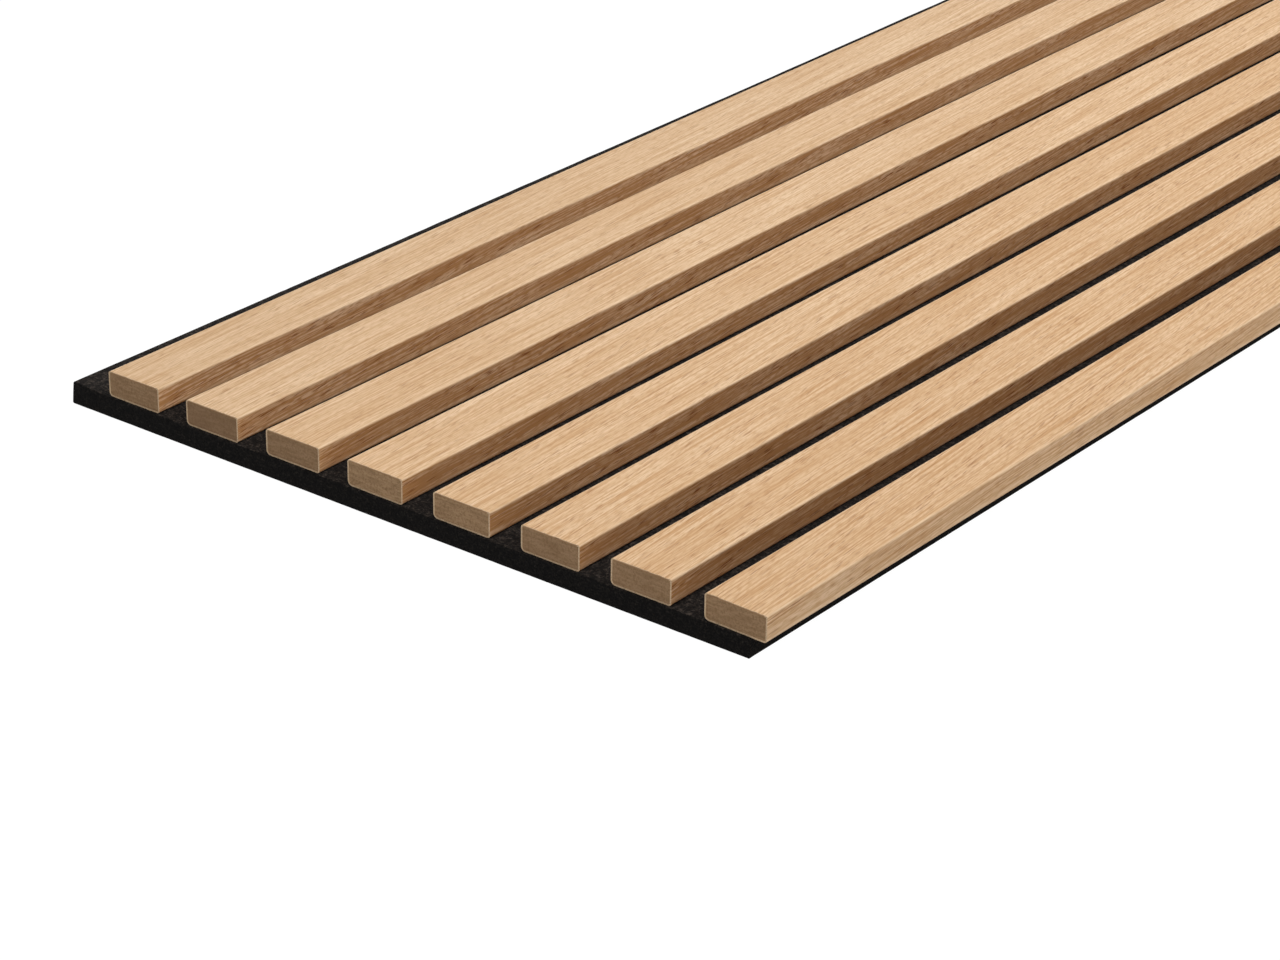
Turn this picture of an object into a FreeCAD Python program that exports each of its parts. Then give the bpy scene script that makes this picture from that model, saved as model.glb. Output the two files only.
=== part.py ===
"""Acoustic slat wall panel: wrapped slats fixed to a felt board from behind.

The panel lies on its back. X runs across the slats, Y runs along them and +Z
points out of the wall, towards the room. The origin is at the bottom centre of
the panel's box. All lengths are in millimetres.

Each slat is a fibreboard core with one sheet of oak veneer folded round it.
The veneer's two long edges meet in a seam on the hidden underside, where the
slat is glued to the felt. Wire staples go in from the back: their crowns sink
into the felt and their legs pass through felt and veneer into the core.

The felt is offset from the slats. It stands out past the first slat, and the
last slat stands out past the felt, so that the last slat of one panel covers
the felt joint with the next and the spacing of the slats carries on.
"""

import FreeCAD, Part
import os

# The whole panel
PANEL_LENGTH = 2400.0
SLAT_COUNT = 8
SLAT_PITCH = 40.0

# One slat, measured over its veneer
SLAT_WIDTH = 26.0
SLAT_THICKNESS = 10.2
SLAT_END_SETBACK = 1.0

# The veneer sheet, the corners that it is folded round and the seam on its underside
VENEER_THICKNESS = 0.6
CORE_CORNER_RADIUS = 0.6
SEAM_GAP = 0.3
SEAM_DISTANCE = 6.0

# The felt board, which leaves a little room for the board beside it
FELT_THICKNESS = 8.0
FELT_MARGIN = 18.0
FELT_JOINT_CLEARANCE = 2.5

# The staples: flat wire, bent to a square U with chisel points
STAPLE_CROWN = 12.8
STAPLE_BITE = 5.9
STAPLE_POINT = 1.0
STAPLE_RECESS = 0.5
WIRE_WIDTH = 0.95
WIRE_THICKNESS = 0.65
STAPLES_PER_SLAT = 5
STAPLE_END_DISTANCE = 120.0

# Sizes worked out from those above
SLATS_SPAN = (SLAT_COUNT - 1) * SLAT_PITCH + SLAT_WIDTH
FELT_WIDTH = SLAT_COUNT * SLAT_PITCH - FELT_JOINT_CLEARANCE
PANEL_WIDTH = max(FELT_WIDTH, FELT_MARGIN + SLATS_SPAN)
FELT_LEFT = -PANEL_WIDTH / 2
FIRST_SLAT_LEFT = FELT_LEFT + FELT_MARGIN
SLAT_LENGTH = PANEL_LENGTH - 2 * SLAT_END_SETBACK
STAPLE_LEG = FELT_THICKNESS - STAPLE_RECESS + VENEER_THICKNESS + STAPLE_BITE
STAPLE_SPACING = (PANEL_LENGTH - 2 * STAPLE_END_DISTANCE) / (STAPLES_PER_SLAT - 1)

# How far the middle of a quarter circle lies from each side of its square corner
ARC_MIDDLE = 1 - 0.5 ** 0.5

PARTS_FOLDER = "parts"


def arc(start, middle, end):
    """The edge that runs from start to end as an arc through middle."""
    return Part.Arc(start, middle, end).toShape()


def slat_section(inset):
    """A slat's section, moved inwards by inset so that its corners stay concentric.

    The section stands in the X-Z plane, with the slat's outer left side at
    x = 0 and its underside at z = 0.
    """
    radius = CORE_CORNER_RADIUS + VENEER_THICKNESS - inset
    middle = ARC_MIDDLE * radius
    left = inset
    right = SLAT_WIDTH - inset
    bottom = inset
    top = SLAT_THICKNESS - inset

    def at(x, z):
        return FreeCAD.Vector(x, 0, z)

    bottom_start, bottom_end = at(left + radius, bottom), at(right - radius, bottom)
    right_start, right_end = at(right, bottom + radius), at(right, top - radius)
    top_start, top_end = at(right - radius, top), at(left + radius, top)
    left_start, left_end = at(left, top - radius), at(left, bottom + radius)
    edges = [
        Part.makeLine(bottom_start, bottom_end),
        arc(bottom_end, at(right - middle, bottom + middle), right_start),
        Part.makeLine(right_start, right_end),
        arc(right_end, at(right - middle, top - middle), top_start),
        Part.makeLine(top_start, top_end),
        arc(top_end, at(left + middle, top - middle), left_start),
        Part.makeLine(left_start, left_end),
        arc(left_end, at(left + middle, bottom + middle), bottom_start),
    ]
    return Part.Face(Part.Wire(edges))


def slat_length_of(section):
    """A section swept along a slat and set down on the felt, centred along Y."""
    bar = section.extrude(FreeCAD.Vector(0, SLAT_LENGTH, 0))
    return bar.translated(FreeCAD.Vector(0, -SLAT_LENGTH / 2, FELT_THICKNESS))


def fibreboard_core():
    """The bar of fibreboard inside a slat's veneer."""
    return slat_length_of(slat_section(VENEER_THICKNESS))


def veneer_sheet():
    """The veneer folded round the core, with its two long edges at the seam."""
    folded = slat_section(0.0).cut(slat_section(VENEER_THICKNESS))
    seam_corner = FreeCAD.Vector(SEAM_DISTANCE, -SLAT_LENGTH / 2, FELT_THICKNESS)
    seam = Part.makeBox(SEAM_GAP, SLAT_LENGTH, VENEER_THICKNESS, seam_corner)
    return slat_length_of(folded).cut(seam)


def staple():
    """One staple, its crown along Y with the middle of its outer face at the origin.

    The bent wire is drawn in the Y-Z plane, with its legs up. Its outline goes
    round the outside first and comes back along the inside.
    """
    outside = STAPLE_CROWN / 2
    inside = outside - WIRE_THICKNESS
    chisel = STAPLE_LEG - STAPLE_POINT

    def at(y, z):
        return FreeCAD.Vector(-WIRE_WIDTH / 2, y, z)

    outline = Part.makePolygon([
        at(-outside, STAPLE_LEG),
        at(-outside, 0),
        at(outside, 0),
        at(outside, STAPLE_LEG),
        at(inside, chisel),
        at(inside, WIRE_THICKNESS),
        at(-inside, WIRE_THICKNESS),
        at(-inside, chisel),
        at(-outside, STAPLE_LEG),
    ])
    return Part.Face(outline).extrude(FreeCAD.Vector(WIRE_WIDTH, 0, 0))


def crown_groove():
    """The groove that a crown presses into the felt's back, down to the crown's seat."""
    depth = STAPLE_RECESS + WIRE_THICKNESS
    corner = FreeCAD.Vector(-WIRE_WIDTH / 2, -STAPLE_CROWN / 2, -STAPLE_RECESS)
    return Part.makeBox(WIRE_WIDTH, STAPLE_CROWN, depth, corner)


def staple_row(shape):
    """A shape at each staple place of a slat whose left side is at x = 0."""
    row = []
    for index in range(STAPLES_PER_SLAT):
        along = STAPLE_END_DISTANCE + index * STAPLE_SPACING - PANEL_LENGTH / 2
        row.append(shape.translated(FreeCAD.Vector(SLAT_WIDTH / 2, along, STAPLE_RECESS)))
    return row


def on_slat(shape, number):
    """A shape made for a slat at x = 0, moved to the slat with that number."""
    left = FIRST_SLAT_LEFT + (number - 1) * SLAT_PITCH
    return shape.translated(FreeCAD.Vector(left, 0, 0))


def felt_board(pressed_in):
    """The felt board, with the pockets that the staples press into it."""
    corner = FreeCAD.Vector(FELT_LEFT, -PANEL_LENGTH / 2, 0)
    board = Part.makeBox(FELT_WIDTH, PANEL_LENGTH, FELT_THICKNESS, corner)
    return board.cut(pressed_in)


def single_solid(shape):
    """The one solid that a cut leaves, taken out of its compound."""
    if len(shape.Solids) != 1:
        raise ValueError(f"one solid was expected, and there are {len(shape.Solids)}")
    return shape.Solids[0]


def panel_nodes():
    """Every piece of the panel, by the name of its node."""
    staples = staple_row(staple())
    grooves = staple_row(crown_groove())
    core = single_solid(fibreboard_core().cut(staples))
    veneer = single_solid(veneer_sheet().cut(staples))
    nodes = {}
    pressed_in = []
    for number in range(1, SLAT_COUNT + 1):
        slat_staples = [on_slat(one, number) for one in staples]
        nodes[f"slat_{number}_core"] = on_slat(core, number)
        nodes[f"slat_{number}_veneer"] = on_slat(veneer, number)
        nodes[f"slat_{number}_staples"] = Part.makeCompound(slat_staples)
        pressed_in += slat_staples + [on_slat(one, number) for one in grooves]
    nodes["felt_backing"] = single_solid(felt_board(pressed_in))
    return nodes


def main():
    os.makedirs(PARTS_FOLDER, exist_ok=True)
    for name, shape in panel_nodes().items():
        if not shape.isValid():
            raise ValueError(f"{name} is not a valid shape")
        shape.exportStep(os.path.join(PARTS_FOLDER, f"{name}.step"))
        box = shape.BoundBox
        size = f"{box.XLength:.2f} x {box.YLength:.2f} x {box.ZLength:.2f} mm"
        print(f"{name}: {len(shape.Solids)} solid(s), {shape.Volume:.1f} mm3, {size}")


main()
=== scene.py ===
"""An acoustic slat wall panel, lying on a white studio floor.

The panel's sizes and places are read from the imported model. The slats' veneer and
cores, the felt board, its loose fibres and the staples are modelled here in finer
detail than the solids that they stand for, and every finish is procedural.
"""

import enum
import logging
import math
import random
from dataclasses import dataclass, field
from typing import Any, Iterable, Sequence

import bmesh
import bpy
from bmesh.types import BMEdge, BMesh, BMFace, BMVert
from bpy.types import Curve, Material, NodeSocket, Object
from mathutils import Matrix, Vector, noise


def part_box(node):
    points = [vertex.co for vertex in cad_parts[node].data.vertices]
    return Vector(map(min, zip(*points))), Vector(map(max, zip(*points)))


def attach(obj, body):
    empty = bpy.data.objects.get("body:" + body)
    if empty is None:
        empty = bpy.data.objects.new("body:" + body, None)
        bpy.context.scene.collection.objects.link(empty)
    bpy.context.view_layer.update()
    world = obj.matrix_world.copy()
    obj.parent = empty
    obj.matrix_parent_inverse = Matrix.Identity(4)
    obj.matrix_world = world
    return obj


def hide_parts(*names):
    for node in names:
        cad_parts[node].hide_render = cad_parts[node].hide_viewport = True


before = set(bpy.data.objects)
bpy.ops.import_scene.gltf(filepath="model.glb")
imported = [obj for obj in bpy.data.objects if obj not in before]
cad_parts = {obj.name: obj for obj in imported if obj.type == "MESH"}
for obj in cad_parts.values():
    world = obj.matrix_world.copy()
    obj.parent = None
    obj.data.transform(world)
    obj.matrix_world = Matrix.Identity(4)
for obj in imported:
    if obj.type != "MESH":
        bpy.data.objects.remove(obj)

LOG = logging.getLogger("slat_panel")

Colour = tuple[float, float, float]
Corners = tuple[Vector, Vector]

MM = 0.001
SLAT_COUNT = 8
FELT_BOX = tuple(Vector(corner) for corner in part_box("felt_backing"))
FIRST_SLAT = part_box("slat_1_veneer")[0][0]

# Points that differ by less than this stand on the same line
SAME = 0.01 * MM

# A colour is written as it looks on a screen
SCREEN_WHITE = 255
SCREEN_GAMMA = 2.2
WHITE = (1.0, 1.0, 1.0, 1.0)


class Slot(enum.Enum):
    """The material slots of the panel's pieces."""

    OAK = "oak_veneer"
    FIBREBOARD = "fibreboard"
    FELT = "pet_felt"
    WIRE = "staple_wire"


class Layer(enum.Enum):
    """The names of the UV map and of the attributes that the finishes read."""

    SHEET = "sheet"
    TONE = "tone"
    EDGE = "edge_wear_and_highlight"
    GROOVE = "groove_side"
    TOP = "slat_top"
    BROWN_BAND = "rim_brown_band"
    FACE = "felt_face"


# Shader expressions


class Value:
    """A shader socket that can be written in Python arithmetic."""

    def __init__(self, graph: "Graph", socket: NodeSocket) -> None:
        """Keep the socket and the graph that new nodes go into."""
        self.graph = graph
        self.socket = socket

    def __add__(self, other: "Value | float") -> "Value":
        """Return self + other."""
        return self.graph.math("ADD", self, other)

    def __radd__(self, other: float) -> "Value":
        """Return other + self."""
        return self.graph.math("ADD", other, self)

    def __sub__(self, other: "Value | float") -> "Value":
        """Return self - other."""
        return self.graph.math("SUBTRACT", self, other)

    def __rsub__(self, other: float) -> "Value":
        """Return other - self."""
        return self.graph.math("SUBTRACT", other, self)

    def __mul__(self, other: "Value | float") -> "Value":
        """Return self * other."""
        return self.graph.math("MULTIPLY", self, other)

    def __rmul__(self, other: float) -> "Value":
        """Return other * self."""
        return self.graph.math("MULTIPLY", other, self)

    def fade(self, start: float, end: float) -> "Value":
        """Return a smooth step from 0 at start to 1 at end.

        Args:
            start: The value at which the step begins.
            end: The value at which it is complete. It may be below start.

        Returns:
            The step, between 0 and 1.
        """
        low, high = (start, end) if start < end else (end, start)
        ends = (0.0, 1.0) if start < end else (1.0, 0.0)
        settings = {"interpolation_type": "SMOOTHSTEP"}
        inputs = {0: self, 1: low, 2: high, 3: ends[0], 4: ends[1]}
        return self.graph.node("ShaderNodeMapRange", settings, inputs)


class Graph:
    """The node tree of one material or of the world."""

    def __init__(self, name: str, kind: str = "Material") -> None:
        """Make an empty material or world with its output node.

        Args:
            name: The name of the material or world.
            kind: Material or World.
        """
        self.owner = (bpy.data.worlds if kind == "World" else bpy.data.materials).new(name)
        self.owner.use_nodes = True
        self.tree = self.owner.node_tree
        self.tree.nodes.clear()
        self.output = self.tree.nodes.new(f"ShaderNodeOutput{kind}")

    def node(
        self,
        kind: str,
        settings: dict[str, Any] | None = None,
        inputs: dict[int | str, Any] | None = None,
        output: int | str = 0,
    ) -> Value:
        """Add a node of any type.

        Args:
            kind: The node's type name.
            settings: Its properties, which are set before its sockets.
            inputs: A value, colour or link for each named or numbered socket.
            output: The socket to return.

        Returns:
            The chosen output, ready for arithmetic.
        """
        made = self.tree.nodes.new(kind)
        for key, value in (settings or {}).items():
            setattr(made, key, value)
        for key, value in (inputs or {}).items():
            if isinstance(value, Value):
                self.tree.links.new(value.socket, made.inputs[key])
            else:
                made.inputs[key].default_value = value
        return Value(self, made.outputs[output])

    def math(self, operation: str, *values: "Value | float") -> Value:
        """Return a Math node's result for one to three values."""
        return self.node("ShaderNodeMath", {"operation": operation}, dict(enumerate(values)))

    def blend(self, factor: "Value | float", low: Any, high: Any, how: str = "MIX") -> Value:
        """Mix two colours.

        Args:
            factor: 0 for the low colour and 1 for the high one.
            low: A colour or a link.
            high: A colour or a link.
            how: The Mix node's blend type.

        Returns:
            The mixed colour.
        """
        settings = {"data_type": "RGBA", "blend_type": how, "clamp_factor": True}
        return self.node("ShaderNodeMix", settings, {0: factor, 6: low, 7: high}, 2)

    def split(self, vector: Value) -> tuple[Value, Value, Value]:
        """Return a vector's three parts."""
        parts = self.node("ShaderNodeSeparateXYZ", {}, {0: vector}).socket.node.outputs
        return tuple(Value(self, part) for part in parts)

    def object_place(self) -> tuple[Value, Value, Value]:
        """Return the place on the object, in metres along X, Y and Z."""
        return self.split(self.node("ShaderNodeTexCoord", output="Object"))

    def sheet_place(self) -> tuple[Value, Value]:
        """Return the place on the unfolded sheet, in metres across and along it."""
        return self.split(self.node("ShaderNodeUVMap", {"uv_map": Layer.SHEET.value}))[:2]

    def layer(self, name: Layer) -> Value:
        """Return what a piece has on its points as one of its attributes."""
        return self.node("ShaderNodeAttribute", {"attribute_name": name.value}, output="Fac")

    def bump(self, height: Value, distance: float, strength: float) -> Value:
        """Return a normal that stands for a height of up to the given distance."""
        inputs = {"Height": height, "Distance": distance, "Strength": strength}
        return self.node("ShaderNodeBump", {}, inputs, "Normal")

    def surface(self, inputs: dict[str, Any]) -> Material:
        """Finish the material with a Principled shader, given its sockets by name."""
        return self.finish(self.node("ShaderNodeBsdfPrincipled", {}, inputs))

    def finish(self, shader: Value) -> Any:
        """Give the output its shader and return the finished material or world."""
        self.tree.links.new(shader.socket, self.output.inputs["Surface"])
        return self.owner

    def looked_at(self) -> Value:
        """Tell the rays that look at a surface from those that light it.

        Returns:
            1 for a ray from the camera, a mirror or glass, and 0 for the light's own rays.
        """
        camera = self.node("ShaderNodeLightPath", output="Is Camera Ray")
        outputs = camera.socket.node.outputs
        mirror, glass = (Value(self, outputs[name]) for name in ("Is Glossy Ray", "Is Transmission Ray"))
        return self.math("MAXIMUM", self.math("MAXIMUM", camera, mirror), glass)


# Finishes


def linear(colour: Colour) -> tuple[float, float, float, float]:
    """Return a screen colour as a shader's colour."""
    return (*((part / SCREEN_WHITE) ** SCREEN_GAMMA for part in colour), 1.0)


@dataclass(frozen=True)
class Pattern:
    """A noise texture: its waves per metre on each axis, and the values between which it fades in."""

    waves: tuple
    ends: tuple = (0.30, 0.70)
    detail: float = 2.0
    roughness: float = 0.5

    def noise(self, place: Sequence[Value]) -> Value:
        """Return the bare noise at a place.

        Args:
            place: Two or three parts of the place, in metres.

        Returns:
            The noise, which is about 0.5 on the average.
        """
        graph = place[0].graph
        parts = {axis: part * count for axis, (part, count) in enumerate(zip(place, self.waves))}
        inputs = {
            "Vector": graph.node("ShaderNodeCombineXYZ", {}, parts),
            "Scale": 1.0,
            "Detail": self.detail,
            "Roughness": self.roughness,
        }
        return graph.node("ShaderNodeTexNoise", {}, inputs, "Fac")

    def shade(self, place: Sequence[Value]) -> Value:
        """Return the pattern at a place, faded in from 0 to 1."""
        return self.noise(place).fade(*self.ends)


@dataclass(frozen=True)
class OakVeneer:
    """Matt lacquered oak veneer, whose grain follows the folded sheet.

    In the grooves the veneer is painted darker and warmer, as shade between the slats, and its grain is
    stronger there.
    The tops are painted a shade darker, which offsets the white sky's reflection in them.
    """

    pale: Colour = (239, 209, 174)
    body: Colour = (226, 192, 154)
    deep: Colour = (192, 146, 98)
    pore: Colour = (138, 88, 50)
    wear_and_highlight: Colour = (238, 208, 171)
    groove_painted_shade: Colour = (238, 226, 219)
    top_painted_shade: Colour = (243, 241, 238)
    slant: float = -0.05
    fleck_slant: float = -0.07
    sway_width: float = 9.0 * MM
    sway: Pattern = Pattern((24.0, 4.5))
    bands: Pattern = Pattern((150.0, 3.0), roughness=0.55)
    strands: Pattern = Pattern((1250.0, 18.0), (0.34, 0.74), 1.0)
    flecks: Pattern = Pattern((1750.0, 220.0), (0.42, 0.72), 1.0)
    dashes: Pattern = Pattern((1700.0, 95.0), (0.53, 0.70), roughness=0.55)
    crowds: Pattern = Pattern((260.0, 12.0), (0.36, 0.62))
    wear_and_highlight_patches: Pattern = Pattern((300.0, 60.0), detail=3.0)
    strength: float = 0.94
    groove_strength: float = 1.4
    tone_strength: float = 0.42
    strand_share: float = 0.66
    fleck_share: float = 0.42
    tone_share: float = 0.2
    scattered_pores: float = 0.10
    crowded_pores: float = 0.34
    least_wear_and_highlight: float = 0.2
    wear_and_highlight_share: float = 0.7
    roughness: float = 0.62
    pore_roughness: float = 0.3

    def material(self) -> Material:
        """Make the material.

        Returns:
            The finished veneer.
        """
        graph = Graph("oak_veneer")
        sheet = across, along = graph.sheet_place()
        drift = across + along * self.slant + (self.sway.noise(sheet) - 0.5) * self.sway_width
        grain = (drift, along)
        aslant = (drift + along * self.fleck_slant, along)
        groove = graph.layer(Layer.GROOVE)
        tone = graph.layer(Layer.TONE).fade(-1.0, 1.0)
        strength = groove * self.groove_strength + tone * self.tone_strength + self.strength
        crowded = self.crowds.shade(aslant) * self.crowded_pores + self.scattered_pores
        pores = self.dashes.shade(aslant) * crowded
        # pale folds: partly wear, partly a painted highlight, and on the open sides painted light from the
        # floor
        wear_and_highlight_mask = graph.layer(Layer.EDGE) * (self.wear_and_highlight_patches.shade(sheet) * self.wear_and_highlight_share + self.least_wear_and_highlight)
        colour = graph.blend(self.bands.shade(grain), linear(self.body), linear(self.pale))
        coats = (
            (self.strands.shade(grain) * self.strand_share * strength, self.deep, "MIX"),
            (self.flecks.shade(aslant) * self.fleck_share * strength, self.deep, "MIX"),
            (tone * self.tone_share, self.deep, "MIX"),
            (pores * strength, self.pore, "MIX"),
            # painted shade on the tops, which offsets the white sky's reflection in them
            (graph.layer(Layer.TOP), self.top_painted_shade, "MULTIPLY"),
            # painted shade: the grooves' sides are painted darker and warmer
            (groove, self.groove_painted_shade, "MULTIPLY"),
            (wear_and_highlight_mask, self.wear_and_highlight, "MIX"),
        )
        for factor, coat, how in coats:
            colour = graph.blend(factor, colour, linear(coat), how)
        return graph.surface({
            "Base Color": colour,
            "Roughness": self.roughness + pores * self.pore_roughness,
            "Specular IOR Level": 0.15,
            "Normal": graph.bump(1.0 - pores, distance=0.04 * MM, strength=0.4),
        })


@dataclass(frozen=True)
class VeneerEdge:
    """The sawn edge of the veneer, seen as a pale rim round a slat's end.

    It is browner just beneath the slat's top.
    """

    pale: Colour = (211, 184, 151)
    dark: Colour = (178, 149, 116)
    browned: Colour = (150, 114, 80)
    fibres: Pattern = Pattern((1900.0, 1900.0, 1900.0), (0.35, 0.7), 3.0)

    def material(self) -> Material:
        """Make the material.

        Returns:
            The finished rim.
        """
        graph = Graph("veneer_edge")
        fibres = self.fibres.noise(graph.object_place())
        sawn = graph.blend(fibres.fade(*self.fibres.ends), linear(self.pale), linear(self.dark))
        browned = graph.layer(Layer.BROWN_BAND).fade(0.2, 0.7)
        return graph.surface({
            "Base Color": graph.blend(browned, sawn, linear(self.browned)),
            "Roughness": 0.75,
            "Specular IOR Level": 0.2,
            "Normal": graph.bump(fibres, distance=0.05 * MM, strength=0.4),
        })


@dataclass(frozen=True)
class Fibreboard:
    """The sawn brown end of a fibreboard core, in fine pressed layers."""

    body: Colour = (168, 137, 104)
    speck: Colour = (116, 90, 65)
    dull: Colour = (140, 112, 86)
    layers: Pattern = Pattern((120.0, 120.0, 900.0), (0.34, 0.68), 3.0, 0.6)
    grit: Pattern = Pattern((1100.0, 1100.0, 1100.0), (0.44, 0.66), roughness=0.7)
    layer_share: float = 0.45
    grit_share: float = 0.5

    def material(self) -> Material:
        """Make the material.

        Returns:
            The finished fibreboard.
        """
        graph = Graph("fibreboard")
        place = graph.object_place()
        layers = self.layers.noise(place)
        grit = self.grit.noise(place)
        tone = graph.layer(Layer.TONE).fade(-1.0, 1.0)
        base = graph.blend(tone, linear(self.body), linear(self.dull))
        in_layers = layers.fade(*self.layers.ends) * self.layer_share
        layered = graph.blend(in_layers, base, linear(self.speck))
        in_specks = grit.fade(*self.grit.ends) * self.grit_share
        return graph.surface({
            "Base Color": graph.blend(in_specks, layered, linear(self.speck)),
            "Roughness": 0.88,
            "Specular IOR Level": 0.12,
            "Normal": graph.bump(grit * 0.6 + layers * 0.4, distance=0.12 * MM, strength=0.5),
        })


@dataclass(frozen=True)
class NeedledFelt:
    """Black needled polyester felt: a fuzzy, greyish face and a blacker cut edge. The face is painted
    lighter than the cut edge, partly for its fuzz and partly as painted light from above.
    """

    face: Colour = (22, 20, 19)
    bloom: Colour = (74, 67, 62)
    cut: Colour = (19, 18, 18)
    cut_bloom: Colour = (46, 43, 40)
    tufts: Pattern = Pattern((420.0, 420.0, 420.0), detail=3.0, roughness=0.65)
    threads: Pattern = Pattern((1300.0, 650.0, 1200.0), (0.46, 0.62), roughness=0.7)
    crossed: Pattern = Pattern((600.0, 1400.0, 1200.0), (0.48, 0.64), roughness=0.7)
    thread_share: float = 0.6
    back_heights: tuple = (0.5 * MM, 0.2 * MM)

    def material(self) -> Material:
        """Make the material.

        Returns:
            The finished felt.
        """
        graph = Graph("needled_felt")
        place = graph.object_place()
        tufts = self.tufts.noise(place)
        mat = self.threads.shade(place) * self.thread_share + self.crossed.shade(place) * self.thread_share
        shade = mat * tufts.fade(*self.tufts.ends)
        side = graph.blend(shade, linear(self.cut), linear(self.cut_bloom))
        open_face = graph.blend(shade, linear(self.face), linear(self.bloom))
        # painted light: the open face is painted lighter than the cut edges, partly its fuzz and partly
        # light from above
        on_face = graph.layer(Layer.FACE) + place[2].fade(*self.back_heights)
        return graph.surface({
            "Base Color": graph.blend(on_face, side, open_face),
            "Roughness": 0.95,
            "Specular IOR Level": 0.08,
            "Normal": graph.bump(mat + tufts, distance=0.25 * MM, strength=0.7),
        })


@dataclass(frozen=True)
class StapleWire:
    """Galvanised flat wire with a dull, slightly uneven zinc coat."""

    zinc: Colour = (188, 188, 184)
    dull: Colour = (142, 143, 142)
    coat: Pattern = Pattern((700.0, 260.0, 260.0), (0.35, 0.7), 3.0)
    roughness: float = 0.28
    coat_roughness: float = 0.25

    def material(self) -> Material:
        """Make the material.

        Returns:
            The finished wire.
        """
        graph = Graph("staple_wire")
        coat = self.coat.noise(graph.object_place())
        return graph.surface({
            "Base Color": graph.blend(coat.fade(*self.coat.ends), linear(self.zinc), linear(self.dull)),
            "Metallic": 0.95,
            "Roughness": self.roughness + coat * self.coat_roughness,
            "Normal": graph.bump(coat, distance=0.02 * MM, strength=0.3),
        })


# Mesh helpers


def node_box(node: str) -> Corners:
    """Return the lowest and highest corners of a node's solid."""
    low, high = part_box(node)
    return Vector(low), Vector(high)


def add_object(name: str, data: Any) -> Object:
    """Link a new object at the origin to the scene and return it."""
    added = bpy.data.objects.new(name, data)
    bpy.context.collection.objects.link(added)
    return added


def new_piece(name: str, shape: BMesh, finishes: Iterable[Material]) -> Object:
    """Turn a bmesh into a linked object at the origin.

    Args:
        name: The piece's name.
        shape: The finished bmesh, which is freed.
        finishes: The materials, by the faces' material index.

    Returns:
        The new object.
    """
    mesh = bpy.data.meshes.new(name)
    shape.to_mesh(mesh)
    shape.free()
    for finish in finishes:
        mesh.materials.append(finish)
    return add_object(name, mesh)


def extrude(shape: BMesh, geometry: Sequence[Any], way: tuple[float, float, float]) -> list[BMFace]:
    """Extrude a part of a shape and move it.

    Args:
        shape: The bmesh.
        geometry: The part's faces, with their edges and points where the old ones stay in use.
        way: How far the new part moves.

    Returns:
        The new part's faces.
    """
    made = bmesh.ops.extrude_face_region(shape, geom=geometry)["geom"]
    points = [one for one in made if isinstance(one, BMVert)]
    bmesh.ops.translate(shape, verts=points, vec=way)
    return [one for one in made if isinstance(one, BMFace)]


def apply_modifiers(piece: Object, sharp_degrees: float) -> None:
    """Replace a piece's mesh with its modified form, smooth but for its sharp edges.

    Args:
        piece: The piece.
        sharp_degrees: The angle from which an edge stays sharp.
    """
    depsgraph = bpy.context.evaluated_depsgraph_get()
    finished = bpy.data.meshes.new_from_object(piece.evaluated_get(depsgraph))
    piece.modifiers.clear()
    piece.data = finished
    finished.shade_smooth()
    finished.set_sharp_from_angle(angle=math.radians(sharp_degrees))


def write_layer(piece: Object, name: Layer, values: Sequence[float]) -> None:
    """Write a value on each point of a piece, as the attribute that a finish reads."""
    layer = piece.data.attributes.new(name.value, "FLOAT", "POINT")
    layer.data.foreach_set("value", values)


def set_tone(piece: Object, tone: float) -> None:
    """Write one tone, between -1 and 1, on every point of a piece."""
    write_layer(piece, Layer.TONE, [tone] * len(piece.data.vertices))


def evenly(start: float, end: float, count: int) -> list[float]:
    """Return evenly spaced places from start to the last one before end."""
    return [start + (end - start) * index / count for index in range(count)]


def fine_rows(start: float, end: float, near: Sequence[float], step: float) -> list[float]:
    """Return places from start to end that crowd towards both ends.

    Args:
        start: The first place.
        end: The last place.
        near: The distances from each end at which a place stands.
        step: About how far apart the places between them are.

    Returns:
        The places in rising order.
    """
    first, last = start + near[-1], end - near[-1]
    middle = evenly(first, last, max(1, round((last - first) / step)))[1:]
    return [start + gap for gap in near] + middle + [end - gap for gap in reversed(near)]


# The panel's pieces


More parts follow.
